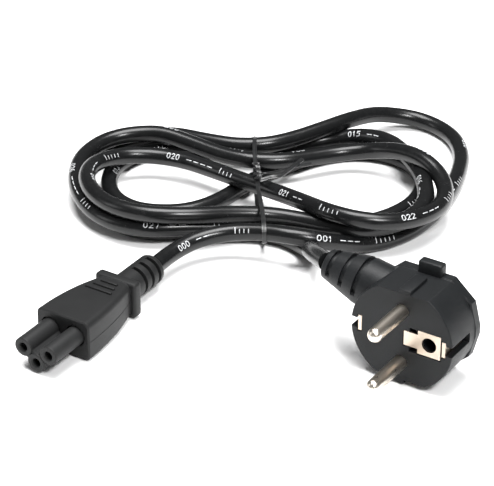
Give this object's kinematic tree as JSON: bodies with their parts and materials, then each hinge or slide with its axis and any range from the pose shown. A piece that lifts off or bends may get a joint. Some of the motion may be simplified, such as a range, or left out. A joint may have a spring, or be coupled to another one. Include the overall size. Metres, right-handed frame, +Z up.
{
  "type": "power cord",
  "caption": "Black mains power cord with a cloverleaf appliance connector and an angled round two-pin plug, its lead looped and held with a twist tie.",
  "frame": {"origin": "middle of the footprint of the plug and the connector, on the surface they lie on", "axes": "+X from the connector towards the plug, +Y towards the looped lead behind them, +Z up"},
  "size_m": [0.1578, 0.2033, 0.0363],
  "materials": {
    "plug_plastic": "satin",
    "nickel": "polished",
    "connector_plastic": "matte",
    "nose_plastic": "matte",
    "contact_brass": "satin",
    "cord_pvc": "glossy",
    "tie_plastic": "glossy"
  },
  "bodies": {
    "root": {"plug_body": "plug_plastic", "pin_line": "nickel", "pin_neutral": "nickel", "earth_plate": "nickel", "earth_clip_left": "nickel", "earth_clip_right": "nickel", "connector_body": "connector_plastic", "connector_nose": "nose_plastic", "contact_line": "contact_brass", "contact_neutral": "contact_brass", "contact_earth": "contact_brass", "cord_hank": "cord_pvc", "cord_to_connector": "cord_pvc", "cord_to_plug": "cord_pvc", "twist_tie": "tie_plastic"}
  },
  "joints": []
}
